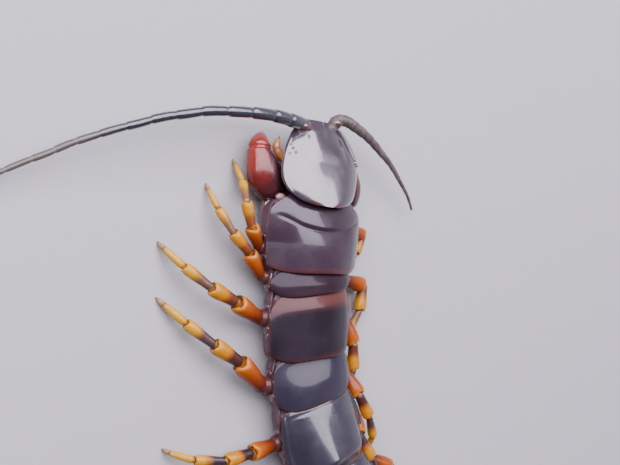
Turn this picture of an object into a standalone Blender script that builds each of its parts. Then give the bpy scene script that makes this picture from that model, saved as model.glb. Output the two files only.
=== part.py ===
"""Giant centipede, life size, alert pose with one antenna out to its left side."""
import math

import bmesh
import bpy
from mathutils import Matrix, Vector

MM = 0.001

# Body plan in millimetres: s runs from the front of the head to the tail.
START_X = -2.22
START_Y = -146.5
HEAD = 15.4
SEGMENTS = [12.4, 3.8, 11.9, 8.1, 13.4, 10.6, 13.4, 13.4, 11.0, 14.0, 11.8,
            14.0, 12.0, 14.0, 12.0, 14.0, 12.0, 13.4, 11.0, 11.8, 10.0]
HALF_WIDTHS = [10.5, 9.3, 9.2, 8.8, 9.1, 9.3, 9.8, 10.0, 10.0, 10.0, 10.0,
               10.0, 10.0, 10.0, 9.9, 9.7, 9.5, 9.2, 8.7, 8.0, 6.8]
TURNS = [(0, 7.0), (22, 4.5), (36, 1.0), (45, -4.0), (54, -14.0), (62, -19.0), (95, -27.0),
         (140, -14.0), (185, 14.0), (225, 26.0), (270, 14.0)]
BACK_TOP = 9.5
BELLY = 1.0
RIM = 6.1
GAP = 0.3
ROOM = 0.4
FANG_ROOM = 0.55
STEP = 0.25
TIP_HEIGHT = -0.08

# Trunk stations inside one segment: share of its length, width share, drop of the back.
STATIONS = [(0.0, 0.93, 0.5), (0.10, 0.965, 0.12), (0.45, 1.0, 0.0),
            (0.85, 0.985, 0.0), (0.97, 0.95, 0.15)]

# Head rings: s, half width, top, rim, underside.
HEAD_RINGS = [(0.0, 3.6, 6.2, 5.4, 4.9), (1.0, 5.2, 6.9, 5.5, 4.8),
              (2.6, 6.6, 7.7, 5.7, 4.7), (4.5, 7.7, 8.45, 5.9, 4.7),
              (7.0, 8.5, 9.15, 6.1, 4.8), (10.0, 8.8, 9.75, 6.3, 4.9),
              (12.5, 7.9, 10.1, 6.6, 5.0), (14.2, 6.5, 10.28, 7.5, 5.6),
              (15.3, 4.7, 10.34, 8.4, 6.6), (16.0, 2.8, 10.34, 9.0, 7.6)]

# First plate rings: s, half width, top.
COLLAR_RINGS = [(14.4, 8.3, 8.2), (15.4, 9.5, 8.8), (16.8, 10.3, 9.3), (19.5, 10.6, 9.7),
                (23.0, 10.5, 9.8), (26.4, 10.2, 9.7), (27.4, 9.9, 9.5)]

# Plate under the head that carries the fangs: s, half width, top.
CHIN_RINGS = [(8.9, 3.4, 3.9), (10.0, 5.6, 4.3), (12.5, 7.4, 4.5),
              (14.9, 9.2, 4.6), (17.0, 9.6, 4.7), (20.0, 9.6, 4.7)]

# Fang path: s, sideways, height, half width, half height.
FANG_LEFT = [(14.9, 8.3, 3.7, 2.1, 1.7), (13.4, 9.2, 3.8, 3.2, 2.4),
             (11.2, 10.6, 4.0, 3.65, 2.55), (9.2, 11.45, 4.0, 3.1, 2.4),
             (7.6, 12.0, 3.8, 2.5, 2.2), (6.9, 12.05, 3.7, 2.2, 2.0),
             (6.1, 12.0, 3.5, 2.1, 1.95), (5.3, 11.75, 3.15, 1.72, 1.62),
             (4.6, 11.4, 2.7, 1.25, 1.2), (4.0, 10.95, 2.1, 0.78, 0.76),
             (3.6, 10.5, 1.5, 0.30, 0.30)]
FANG_RIGHT = [(14.9, -8.4, 3.7, 1.9, 1.7), (13.4, -8.7, 3.7, 2.7, 2.4),
              (11.2, -8.5, 3.7, 3.1, 2.6), (9.2, -8.1, 3.6, 2.8, 2.4),
              (7.6, -7.6, 3.4, 2.3, 2.1), (6.9, -7.3, 3.3, 2.0, 1.9),
              (6.1, -6.9, 3.2, 1.9, 1.8), (5.0, -6.2, 3.0, 1.45, 1.4),
              (3.9, -5.2, 2.7, 0.95, 0.95), (3.0, -4.3, 2.4, 0.55, 0.55),
              (2.4, -3.7, 2.2, 0.27, 0.27)]

# Mouth parts between the fangs: s, half width, top, bottom; and one feeler each side.
MOUTH_RINGS = [(2.2, 1.6, 4.2, 3.0), (4.5, 2.4, 4.3, 2.6), (8.3, 2.9, 4.3, 2.4)]
PALP_LEFT = [(7.4, 1.8, 3.3, 0.8), (8.0, 4.6, 3.3, 0.85), (7.4, 6.9, 3.4, 0.85),
             (5.8, 8.2, 3.4, 0.8), (4.2, 7.8, 3.3, 0.5)]
PALP_RIGHT = [(6.4, -1.4, 3.3, 0.8), (6.6, -2.9, 3.2, 0.8), (5.2, -3.5, 3.1, 0.75),
              (3.4, -2.9, 3.1, 0.45)]

# Antennae: x, y from the start point, height, radius.
ANTENNA_LEFT = [(3.4, 2.2, 6.0, 1.2), (5.0, 0.75, 6.4, 1.3), (8.2, 0.15, 7.0, 1.28),
                (11.6, -0.35, 7.4, 1.2), (16.2, -0.6, 7.8, 1.1), (20.8, -0.6, 7.7, 1.0),
                (25.8, -0.45, 7.4, 0.93), (30.4, 0.3, 7.0, 0.87), (34.9, 1.1, 6.6, 0.81),
                (39.2, 2.35, 6.2, 0.76), (43.3, 3.5, 5.7, 0.71), (47.8, 5.0, 5.2, 0.67),
                (51.1, 6.2, 4.6, 0.63), (54.6, 7.8, 4.0, 0.6), (58.1, 9.2, 3.4, 0.56),
                (62.2, 11.0, 2.8, 0.51), (65.9, 12.6, 2.2, 0.45), (69.4, 14.3, 1.5, 0.36),
                (71.4, 15.4, 1.1, 0.27)]
ANTENNA_RIGHT = [(-1.4, 1.8, 6.0, 1.1), (-2.8, -0.2, 6.4, 1.15), (-4.8, -0.4, 6.6, 1.1),
                 (-7.0, 0.5, 6.6, 1.02), (-10.8, 2.5, 6.2, 0.86), (-14.4, 5.1, 5.6, 0.70),
                 (-17.7, 7.6, 4.9, 0.54), (-20.7, 10.6, 4.1, 0.42), (-23.3, 13.3, 3.3, 0.33),
                 (-25.0, 16.1, 2.7, 0.26)]
ARTICLES = 17

# Walking legs: link lengths and the radius rings along them.
LINKS = [7.2, 6.1, 6.4, 5.0, 1.9]
COXA = 1.8
LEG_PITCH = [14.0, 0.0, -15.0, -30.0, -45.0]

# Posed legs, as the photo shows them: number, then scale, place on the segment, yaws, pitches.
LEFT_POSED = {
    1: (0.74, 0.70, [46, 74, 101, 80, 86], [28, 0, -32, -29, -39]),
    2: (0.79, 0.40, [50, 46, 59, 72, 85], [12, 0, -12, -24, -35]),
    3: (0.96, 0.41, [27, 27, 38, 48, 59], [14, 1, -12, -25, -38]),
    4: (1.02, 0.52, [48, 40, 45, 50, 54], [6, -2, -10, -18, -26]),
    5: (0.90, 0.42, [11, 8, 22, 37, 52], [25, 8, -9, -26, -43]),
    6: (1.08, 0.25, [32, 38, 42, 46, 48], [16, 2, -14, -28, -42]),
}
RIGHT_POSED = {
    1: (0.68, 0.33, [-5, -112, -112, -115, -115], [-19, -1, -7, -11, -30]),
    2: (0.83, 0.40, [-9, -96, -116, -115, -115], [-15, -5, -12, -12, -32]),
    3: (0.84, 0.41, [-66, -84, -100, -112, -112], [1, -8, -23, -10, -31]),
    4: (0.82, 0.57, [-72, -66, -67, -85, -114], [32, 9, -9, -32, -27]),
    5: (0.89, 0.36, [-105, -75, -70, -49, -53], [28, 10, -17, -43, -39]),
    6: (0.90, 0.35, [-46, -60, -61, -60, -59], [7, 10, -9, -24, -43]),
}

TAIL_LINKS = [12.5, 11.0, 9.5, 7.5, 5.0]
TAIL_PITCH = [14, 2, -8, -14, -22]

BODY_COLOUR = (0.030, 0.016, 0.022, 1)
HEAD_COLOUR = (0.035, 0.018, 0.026, 1)
FANG_COLOUR = (0.30, 0.018, 0.008, 1)
MOUTH_COLOUR = (0.42, 0.13, 0.02, 1)
ANTENNA_COLOUR = (0.030, 0.030, 0.045, 1)
LEG_COLOUR = (0.62, 0.24, 0.015, 1)
TAIL_COLOUR = (0.45, 0.13, 0.015, 1)


def clear_scene():
    for item in list(bpy.data.objects):
        bpy.data.objects.remove(item, do_unlink=True)


def turn_at(s):
    if s <= TURNS[0][0]:
        return TURNS[0][1]
    if s >= TURNS[-1][0]:
        return TURNS[-1][1]
    spot = max(i for i in range(len(TURNS) - 1) if TURNS[i][0] <= s)

    def slope(j):
        low = max(0, j - 1)
        high = min(len(TURNS) - 1, j + 1)
        return (TURNS[high][1] - TURNS[low][1]) / (TURNS[high][0] - TURNS[low][0])

    s0, a0 = TURNS[spot]
    s1, a1 = TURNS[spot + 1]
    span = s1 - s0
    t = (s - s0) / span
    h00 = 2 * t ** 3 - 3 * t ** 2 + 1
    h10 = t ** 3 - 2 * t ** 2 + t
    h01 = -2 * t ** 3 + 3 * t ** 2
    h11 = t ** 3 - t ** 2
    return h00 * a0 + h10 * span * slope(spot) + h01 * a1 + h11 * span * slope(spot + 1)


def walk_spine():
    count = int((HEAD + sum(SEGMENTS) + 20) / STEP)
    path = [(START_X, START_Y)]
    for i in range(count):
        angle = math.radians(turn_at((i + 0.5) * STEP))
        x, y = path[-1]
        path.append((x + math.sin(angle) * STEP, y + math.cos(angle) * STEP))
    return path


SPINE = walk_spine()


def spine_frame(s):
    """Point on the body line with its left and backward directions."""
    place = max(0.0, s / STEP)
    i = min(len(SPINE) - 2, int(place))
    t = place - i
    x = SPINE[i][0] * (1 - t) + SPINE[i + 1][0] * t
    y = SPINE[i][1] * (1 - t) + SPINE[i + 1][1] * t
    angle = math.radians(turn_at(s))
    if s < 0:
        x += math.sin(angle) * s
        y += math.cos(angle) * s
    left = Vector((math.cos(angle), -math.sin(angle), 0))
    back = Vector((math.sin(angle), math.cos(angle), 0))
    return Vector((x, y, 0)), left, back


def at(s, side, height):
    spot, left, back = spine_frame(s)
    return spot + left * side + Vector((0, 0, height))


def segment_start(index):
    return HEAD + sum(SEGMENTS[:index])


def half_ring_to_full(half):
    """Mirror (side, height) pairs listed from top centre to bottom centre."""
    full = list(half)
    for side, height in reversed(half[1:-1]):
        full.append((-side, height))
    return full


def trunk_section(width, top, grow=0.0):
    rim = RIM - (BACK_TOP - top) * 0.6
    deep = top - rim
    w = width + grow
    up = grow
    half = [(0, top + up), (0.38 * w, top - 0.10 * deep + up), (0.70 * w, top - 0.36 * deep + up),
            (0.92 * w, top - 0.78 * deep + up), (1.0 * w, rim + 0.1), (0.955 * w, rim - 0.55),
            (0.97 * w, 3.9), (0.83 * w, 1.9 - up), (0.62 * w, BELLY - up), (0, BELLY - up)]
    return half_ring_to_full(half)


def head_section(width, top, rim, low, grow=0.0):
    w = width + grow
    deep = top - rim
    half = [(0, top + grow), (0.36 * w, top - 0.05 * deep + grow), (0.66 * w, top - 0.22 * deep + grow),
            (0.89 * w, top - 0.55 * deep + grow), (1.0 * w, rim), (0.93 * w, rim - 0.5 - grow),
            (0.55 * w, low - grow), (0, low - grow)]
    return half_ring_to_full(half)


def slab_section(width, top, low):
    deep = top - low
    half = [(0, top), (0.72 * width, top - 0.06 * deep), (0.97 * width, top - 0.30 * deep),
            (0.97 * width, low + 0.32 * deep), (0.72 * width, low), (0, low)]
    return half_ring_to_full(half)


def mesh_from_rings(name, rings, scale=MM):
    """Closed body through rings of equal length, its ends capped."""
    mesh = bpy.data.meshes.new(name)
    bm = bmesh.new()
    rows = [[bm.verts.new(Vector(p) * scale) for p in ring] for ring in rings]
    size = len(rows[0])
    for front, rear in zip(rows, rows[1:]):
        for i in range(size):
            j = (i + 1) % size
            bm.faces.new((front[i], front[j], rear[j], rear[i]))
    bm.faces.new(list(reversed(rows[0])))
    bm.faces.new(rows[-1])
    bmesh.ops.recalc_face_normals(bm, faces=bm.faces[:])
    bm.to_mesh(mesh)
    bm.free()
    return mesh


def place_section(s, section):
    return [at(s, side, height) for side, height in section]


def tube_rings(points, radii, sides=10):
    """Oval rings across a path, turned with it; each radius is a (side, up) pair."""
    points = [Vector(p) for p in points]
    rings = []
    up = Vector((0, 0, 1))
    count = len(points)
    for i, point in enumerate(points):
        ahead = points[min(i + 1, count - 1)] - point
        behind = point - points[max(i - 1, 0)]
        if ahead.length < 1e-6:
            ahead = behind
        if behind.length < 1e-6:
            behind = ahead
        tangent = (ahead.normalized() + behind.normalized()).normalized()
        up = (up - tangent * up.dot(tangent)).normalized()
        side = tangent.cross(up).normalized()
        r = radii[i]
        ring = []
        for k in range(sides):
            a = 2 * math.pi * (k + 0.5) / sides
            ring.append(point + side * (r[0] * math.cos(a)) + up * (r[1] * math.sin(a)))
        rings.append(ring)
    return rings


def tube_mesh(name, points, radii, group, foot=False):
    """Bevelled curve with its own radius at each point, made a mesh; a foot is cut level."""
    curve = bpy.data.curves.new(name + "_path", "CURVE")
    curve.dimensions = "3D"
    curve.bevel_depth = MM
    curve.bevel_resolution = 2
    curve.use_fill_caps = True
    line = curve.splines.new("POLY")
    line.points.add(len(points) - 1)
    for spot, point, radius in zip(line.points, points, radii):
        spot.co = (point[0] * MM, point[1] * MM, point[2] * MM, 1.0)
        spot.radius = radius
    item = bpy.data.objects.new(name + "_path", curve)
    group.objects.link(item)
    bpy.context.view_layer.update()
    depsgraph = bpy.context.evaluated_depsgraph_get()
    mesh = bpy.data.meshes.new_from_object(item.evaluated_get(depsgraph))
    bpy.data.objects.remove(item, do_unlink=True)
    mesh.name = name
    bm = bmesh.new()
    bm.from_mesh(mesh)
    bmesh.ops.remove_doubles(bm, verts=bm.verts, dist=0.01 * MM)
    if foot:
        everything = bm.verts[:] + bm.edges[:] + bm.faces[:]
        bmesh.ops.bisect_plane(bm, geom=everything, dist=0.002 * MM, plane_co=(0, 0, 0),
                               plane_no=(0, 0, 1), clear_inner=True)
        for vert in bm.verts:
            if abs(vert.co.z) < 0.004 * MM:
                vert.co.z = 0.0
        rim = [edge for edge in bm.edges if edge.is_boundary]
        bmesh.ops.holes_fill(bm, edges=rim, sides=0)
    bmesh.ops.recalc_face_normals(bm, faces=bm.faces[:])
    bm.to_mesh(mesh)
    bm.free()
    mesh.shade_smooth()
    mesh.set_sharp_from_angle(angle=math.radians(40))
    return mesh


def leg_chain(index, side, scale, share, yaws, pitches, height=3.9, inset=0.88):
    """Joint points of one leg; its tip is brought to the floor by its own pitch."""
    s = segment_start(index) + SEGMENTS[index] * share
    spot, left, back = spine_frame(s)
    root = at(s, side * HALF_WIDTHS[index] * inset, height)
    up = Vector((0, 0, 1))
    out = left * side

    def joints(extra):
        low = math.radians(-12)
        points = [root, root + (out * math.cos(low) + up * math.sin(low)) * COXA * scale]
        for link in range(5):
            yaw = math.radians(yaws[link])
            pitch = math.radians(pitches[link] + extra)
            level = out * math.cos(yaw) - back * math.sin(yaw)
            step = level * math.cos(pitch) + up * math.sin(pitch)
            points.append(points[-1] + step * LINKS[link] * scale)
        return points

    low, high = -70.0, 60.0
    for _ in range(40):
        middle = (low + high) / 2
        if joints(middle)[-1].z > TIP_HEIGHT:
            high = middle
        else:
            low = middle
    return joints(high)


def leg_path(joints, scale):
    """Rings of a walking leg: each link swells towards its far end."""
    root, coxa, knee, femur, tibia, tarsus, tip = joints
    start = root - (coxa - root) * 0.6
    points = [start, coxa]
    radii = [1.5, 1.42]

    def along(a, b, t):
        return a + (b - a) * t

    points += [along(coxa, knee, 0.42), along(coxa, knee, 0.80)]
    radii += [1.55, 1.80]
    cut = 0.85 * scale
    points += [along(knee, coxa, cut / (coxa - knee).length)]
    points += [along(knee, femur, cut / (femur - knee).length)]
    radii += [1.38, 1.22]
    points += [along(knee, femur, 0.78), femur]
    radii += [1.48, 1.02]
    points += [along(femur, tibia, 0.80), tibia]
    radii += [1.08, 0.80]
    points += [along(tibia, tarsus, 0.75), tarsus]
    radii += [0.84, 0.64]
    points += [along(tarsus, tip, 0.55), tip]
    radii += [0.56, 0.34]
    return points, [r * scale for r in radii]


def wave_pose(index, side):
    """Stepping wave for the legs that the photo doesn't show."""
    phase = 2 * math.pi * (index / 7.0 + (0.5 if side < 0 else 0.0))
    lean = 14 - 3.6 * (index - 5) if side > 0 else -40 + 0.6 * (index - 6)
    swing = 9 * math.sin(phase)
    middle = lean + swing
    spread = 7 if middle > 0 else -3
    yaws = [middle + spread * 0.5 * link for link in range(5)]
    scale = 1.0 if index < 17 else 1.04
    return scale, 0.36, yaws, LEG_PITCH


def spline(points, count):
    """Smooth path through points of any size, sampled evenly in index."""
    out = []
    last = len(points) - 1
    for n in range(count):
        place = last * n / (count - 1)
        i = min(last - 1, int(place))
        t = place - i
        rows = [points[max(0, min(last, i + k))] for k in (-1, 0, 1, 2)]
        out.append(tuple(0.5 * (2 * b + (c - a) * t + (2 * a - 5 * b + 4 * c - d) * t * t
                                + (3 * b - a - 3 * c + d) * t ** 3)
                         for a, b, c, d in zip(*rows)))
    return out


def make_material(name, colour, roughness):
    material = bpy.data.materials.new(name)
    material.use_nodes = True
    shader = material.node_tree.nodes["Principled BSDF"]
    shader.inputs["Base Color"].default_value = colour
    shader.inputs["Roughness"].default_value = roughness
    return material


def make_collection(name):
    group = bpy.data.collections.new(name)
    bpy.context.scene.collection.children.link(group)
    return group


def add_object(name, mesh, group, colour=None, roughness=0.25):
    """The object's own origin goes to the middle of its first ring of points."""
    first = [v.co.copy() for v in list(mesh.vertices)[:8]]
    home = sum(first, Vector()) / len(first)
    mesh.transform(Matrix.Translation(-home))
    item = bpy.data.objects.new(name, mesh)
    item.location = home
    group.objects.link(item)
    if colour:
        mesh.materials.append(make_material(name + "_finish", colour, roughness))
    return item


def boolean(item, other, kind):
    cut = item.modifiers.new(kind.lower() + "_" + other.name, "BOOLEAN")
    cut.operation = kind
    cut.solver = "EXACT"
    cut.object = other
    return cut


def add_cutter(name, mesh, group):
    cutter = add_object(name, mesh, group)
    cutter.hide_render = True
    cutter.display_type = "WIRE"
    return cutter


def trunk_rings(first, last, grow=0.0, reach=0.0):
    rings = []
    for index in range(first, last + 1):
        s0 = segment_start(index)
        length = SEGMENTS[index]
        for share, width, drop in STATIONS:
            s = s0 + share * length
            if index == first and share == 0.0:
                s += GAP / 2 - reach
            rings.append(place_section(s, trunk_section(HALF_WIDTHS[index] * width,
                                                        BACK_TOP - drop, grow)))
    end = segment_start(last + 1) - GAP / 2 + reach
    rings.append(place_section(end, trunk_section(HALF_WIDTHS[last] * 0.93, BACK_TOP - 0.5, grow)))
    return rings


def collar_rings(grow=0.0):
    rings = []
    for s, width, top in COLLAR_RINGS:
        rings.append(place_section(s, trunk_section(width, top, grow)))
    return rings


def build_body(parts, cutters):
    head_mesh = mesh_from_rings("head", [place_section(s, head_section(w, t, m, b))
                                         for s, w, t, m, b in HEAD_RINGS])
    add_object("head", head_mesh, parts, HEAD_COLOUR, 0.18)
    grown = []
    for n, (s, w, t, m, b) in enumerate(HEAD_RINGS):
        shift = (n / (len(HEAD_RINGS) - 1) - 0.5) * 2 * ROOM
        grown.append(place_section(s + shift, head_section(w, t, m, b, ROOM)))
    head_cut = add_cutter("head_room", mesh_from_rings("head_room", grown), cutters)

    chin = add_cutter("chin_block", mesh_from_rings("chin_block", [
        place_section(s, slab_section(w, t, BELLY)) for s, w, t in CHIN_RINGS]), cutters)
    collar = add_object("trunk_01", mesh_from_rings("trunk_01", collar_rings()), parts,
                        BODY_COLOUR, 0.2)
    boolean(collar, chin, "UNION")
    boolean(collar, head_cut, "DIFFERENCE")

    for side_name, path in (("left", FANG_LEFT), ("right", FANG_RIGHT)):
        dense = spline(path, 19)
        points = [at(s, x, z) for s, x, z, a, b in dense]
        fang = add_object("forcipule_" + side_name, mesh_from_rings(
            "forcipule_" + side_name,
            tube_rings(points, [(a, b) for s, x, z, a, b in dense])), parts, FANG_COLOUR, 0.15)
        base = at(dense[0][0] + FANG_ROOM, dense[0][1], dense[0][2])
        grown = [(a + FANG_ROOM, b + FANG_ROOM) for s, x, z, a, b in dense]
        room = add_cutter("fang_room_" + side_name, mesh_from_rings(
            "fang_room_" + side_name, tube_rings([base] + points[1:], grown)), cutters)
        boolean(fang, head_cut, "DIFFERENCE")
        boolean(collar, room, "DIFFERENCE")

    mouth = add_object("maxillae", mesh_from_rings("maxillae", [
        place_section(s, slab_section(w, t, b)) for s, w, t, b in MOUTH_RINGS]), parts,
        MOUTH_COLOUR, 0.3)
    for side_name, path in (("left", PALP_LEFT), ("right", PALP_RIGHT)):
        dense = spline(path, 9)
        palp = add_cutter("palp_" + side_name, tube_mesh(
            "palp_" + side_name, [at(s, x, z) for s, x, z, r in dense],
            [r for s, x, z, r in dense], cutters), cutters)
        boolean(mouth, palp, "UNION")

    for side_name, path in (("left", ANTENNA_LEFT), ("right", ANTENNA_RIGHT)):
        count = ARTICLES * 2 + 1
        dense = spline(path, count)
        points = [Vector((START_X + x, START_Y + y, z)) for x, y, z, r in dense]
        radii = []
        for n, (x, y, z, r) in enumerate(dense):
            pinch = 0.90 if n % 2 == 0 and 0 < n < count - 1 else 1.0
            radii.append(r * pinch)
        item = add_object("antenna_" + side_name, tube_mesh(
            "antenna_" + side_name, points, radii, parts), parts, ANTENNA_COLOUR, 0.3)
        boolean(item, head_cut, "DIFFERENCE")

    names = [(1, 2), (3, 4), (5, 6), (7, 8), (9, 10), (11, 12), (13, 14), (15, 16), (17, 18),
             (19, 20)]
    for first, last in names:
        label = "trunk_%02d_%02d" % (first + 1, last + 1)
        add_object(label, mesh_from_rings(label, trunk_rings(first, last)), parts, BODY_COLOUR, 0.2)


def build_legs(parts, cutters):
    for index in range(20):
        first = max(0, index - 1)
        last = min(20, index + 1)
        room = add_cutter("leg_room_%02d" % (index + 1), mesh_from_rings(
            "leg_room_%02d" % (index + 1), room_rings(first, last)), cutters)
        for side, side_name, posed in ((1, "left", LEFT_POSED), (-1, "right", RIGHT_POSED)):
            scale, share, yaws, pitches = posed.get(index + 1) or wave_pose(index, side)
            joints = leg_chain(index, side, scale, share, yaws, pitches)
            points, radii = leg_path(joints, scale)
            name = "leg_%s_%02d" % (side_name, index + 1)
            leg = add_object(name, tube_mesh(name, points, radii, parts, foot=True),
                             parts, LEG_COLOUR, 0.25)
            boolean(leg, room, "DIFFERENCE")


def room_rings(first, last):
    """Trunk body grown by the clearance, over the segments a leg stands beside."""
    rings = []
    for index in range(first, last + 1):
        if index == 0:
            rings += collar_rings(GAP)
            continue
        s0 = segment_start(index)
        for share, width, drop in STATIONS:
            rings.append(place_section(s0 + share * SEGMENTS[index],
                                       trunk_section(HALF_WIDTHS[index] * width,
                                                     BACK_TOP - drop, GAP)))
    return rings


def tail_chain(side):
    """Joint points of the long last leg, trailing behind the body."""
    s = segment_start(21) - 0.8
    spot, left, back = spine_frame(s)
    root = at(s, side * 3.9, 4.4)
    up = Vector((0, 0, 1))
    splay = [15, 11, 8, 6, 5]

    def joints(extra):
        points = [root]
        for link in range(5):
            yaw = math.radians(splay[link])
            pitch = math.radians(TAIL_PITCH[link] + extra)
            level = back * math.cos(yaw) + left * (side * math.sin(yaw))
            step = level * math.cos(pitch) + up * math.sin(pitch)
            points.append(points[-1] + step * TAIL_LINKS[link])
        return points

    low, high = -70.0, 60.0
    for _ in range(40):
        middle = (low + high) / 2
        if joints(middle)[-1].z > TIP_HEIGHT:
            high = middle
        else:
            low = middle
    return joints(high)


def build_tail(parts, cutters):
    room = add_cutter("tail_room", mesh_from_rings(
        "tail_room", trunk_rings(19, 20, GAP, GAP)), cutters)
    for side, side_name in ((1, "left"), (-1, "right")):
        joints = tail_chain(side)
        points = [joints[0]]
        radii = [2.0]
        spec = [(0.35, 2.45, 2.0), (0.8, 2.3, 1.75), (0.8, 2.0, 1.4), (0.8, 1.55, 1.1),
                (0.55, 0.95, 0.34)]
        for link, (share, swell, joint) in enumerate(spec):
            a, b = joints[link], joints[link + 1]
            if link == 0:
                points.append(a + (b - a) * 0.3)
                radii.append(2.5)
                share = 0.8
            points.append(a + (b - a) * share)
            radii.append(swell)
            points.append(b)
            radii.append(joint)
        name = "ultimate_leg_" + side_name
        leg = add_object(name, tube_mesh(name, points, radii, parts, foot=True),
                         parts, TAIL_COLOUR, 0.25)
        boolean(leg, room, "DIFFERENCE")


def main():
    clear_scene()
    parts = make_collection("giant_centipede")
    cutters = make_collection("cutters")
    build_body(parts, cutters)
    build_legs(parts, cutters)
    build_tail(parts, cutters)
    stand = bpy.data.objects.new("centipede_frame", None)
    parts.objects.link(stand)
    for item in list(parts.objects):
        if item.type == "MESH":
            item.parent = stand


main()
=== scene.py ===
import math

import bmesh
import bpy
from mathutils import Matrix, Vector


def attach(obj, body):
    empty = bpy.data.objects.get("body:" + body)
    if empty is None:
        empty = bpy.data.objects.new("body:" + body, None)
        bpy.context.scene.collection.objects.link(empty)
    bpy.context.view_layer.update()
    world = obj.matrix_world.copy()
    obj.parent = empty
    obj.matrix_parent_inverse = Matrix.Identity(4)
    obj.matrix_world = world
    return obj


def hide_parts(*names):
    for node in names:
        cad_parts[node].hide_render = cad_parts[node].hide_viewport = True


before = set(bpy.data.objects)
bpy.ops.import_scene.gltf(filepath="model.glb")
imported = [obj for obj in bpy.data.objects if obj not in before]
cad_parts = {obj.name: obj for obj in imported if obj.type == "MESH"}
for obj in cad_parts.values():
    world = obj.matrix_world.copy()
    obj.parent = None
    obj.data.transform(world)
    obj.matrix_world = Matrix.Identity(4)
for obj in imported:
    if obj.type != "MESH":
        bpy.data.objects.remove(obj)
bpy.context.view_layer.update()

MM = 0.001

# Body plan in millimetres: s runs from the front of the head to the tail.
START_X = -2.22
START_Y = -146.5
HEAD = 15.4
HEAD_END = 16.1
SEGMENTS = [12.4, 3.8, 11.9, 8.1, 13.4, 10.6, 13.4, 13.4, 11.0, 14.0, 11.8,
            14.0, 12.0, 14.0, 12.0, 14.0, 12.0, 13.4, 11.0, 11.8, 10.0]
HALF_WIDTHS = [10.5, 9.3, 9.2, 8.8, 9.1, 9.3, 9.8, 10.0, 10.0, 10.0, 10.0,
               10.0, 10.0, 10.0, 9.9, 9.7, 9.5, 9.2, 8.7, 8.0, 6.8]
TURNS = [(0, 7.0), (22, 4.5), (36, 1.0), (45, -4.0), (54, -14.0), (62, -19.0), (95, -27.0),
         (140, -14.0), (185, 14.0), (225, 26.0), (270, 14.0)]
# How far each plate border runs slantwise, as a share of the sideways place.
SLANTS = {1: 0.02, 2: 0.13, 3: 0.03, 4: 0.05}
# Length of the sloping front of a plate where it isn't the usual one.
FRONT_SLOPES = {1: 3.0}
BACK_TOP = 9.5
BELLY = 1.0
RIM = 6.1
STEP = 0.25
TIP_HEIGHT = -0.08
PLATE = 0.35
PLATE_ACROSS = 64
PLATE_ROWS = {0: 84, 4: 56}
OVERLAP = 0.5
SKIN_TOP = 7.95
HEAD_SHIFT = 0.55
FLOOR_HALF = 3.0
FLOOR_GAP = 0.00002
UP = Vector((0, 0, 1))
# Finishes by name, filled as they are made.
FINISHES = {}

# Rings of the first plate, head and chin: place, half width and top; the head's rim and underside.
COLLAR = [(14.0, 8.2, 8.1), (15.4, 9.5, 8.75), (16.8, 10.3, 9.25), (19.5, 10.6, 9.75),
          (23.0, 10.5, 9.85), (26.4, 10.2, 9.75), (28.6, 9.9, 9.62)]
HEAD_RINGS = [(0.0, 3.6, 6.2, 5.4, 4.9), (1.0, 5.2, 6.9, 5.5, 4.8),
              (2.6, 6.6, 7.7, 5.7, 4.7), (4.5, 7.7, 8.45, 5.9, 4.7),
              (7.0, 8.5, 9.15, 6.1, 4.8), (10.0, 8.8, 9.75, 6.3, 4.9),
              (12.5, 8.3, 10.1, 6.6, 5.0), (14.2, 7.1, 10.28, 7.5, 5.6),
              (15.3, 5.5, 10.34, 8.4, 6.6), (16.0, 3.9, 10.34, 9.0, 7.6)]
CHIN_RINGS = [(8.9, 3.4, 3.9), (10.0, 5.6, 4.3), (12.5, 7.4, 4.5),
              (14.9, 9.2, 4.6), (17.0, 9.6, 4.7), (20.0, 9.6, 4.7)]
# Fangs: place, side, height and two radii.
FANG_LEFT = [(14.9, 8.3, 3.7, 2.1, 1.7), (13.4, 9.2, 3.8, 3.2, 2.4),
             (11.2, 10.6, 4.0, 3.65, 2.55), (9.2, 11.45, 4.0, 3.1, 2.4),
             (7.6, 12.0, 3.8, 2.5, 2.2), (6.9, 12.05, 3.7, 2.2, 2.0),
             (6.1, 12.0, 3.5, 2.1, 1.95), (5.3, 11.75, 3.15, 1.72, 1.62),
             (4.6, 11.4, 2.7, 1.25, 1.2), (4.0, 10.95, 2.1, 0.78, 0.76),
             (3.6, 10.5, 1.5, 0.30, 0.30)]
FANG_RIGHT = [(14.9, -8.4, 3.7, 1.9, 1.7), (13.4, -8.7, 3.7, 2.7, 2.4),
              (11.2, -8.5, 3.7, 3.1, 2.6), (9.2, -8.1, 3.6, 2.8, 2.4),
              (7.6, -7.6, 3.4, 2.3, 2.1), (6.9, -7.3, 3.3, 2.0, 1.9),
              (6.1, -6.9, 3.2, 1.9, 1.8), (5.0, -6.2, 3.0, 1.45, 1.4),
              (3.9, -5.2, 2.7, 0.95, 0.95), (3.0, -4.3, 2.4, 0.55, 0.55),
              (2.4, -3.7, 2.2, 0.27, 0.27)]
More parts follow.
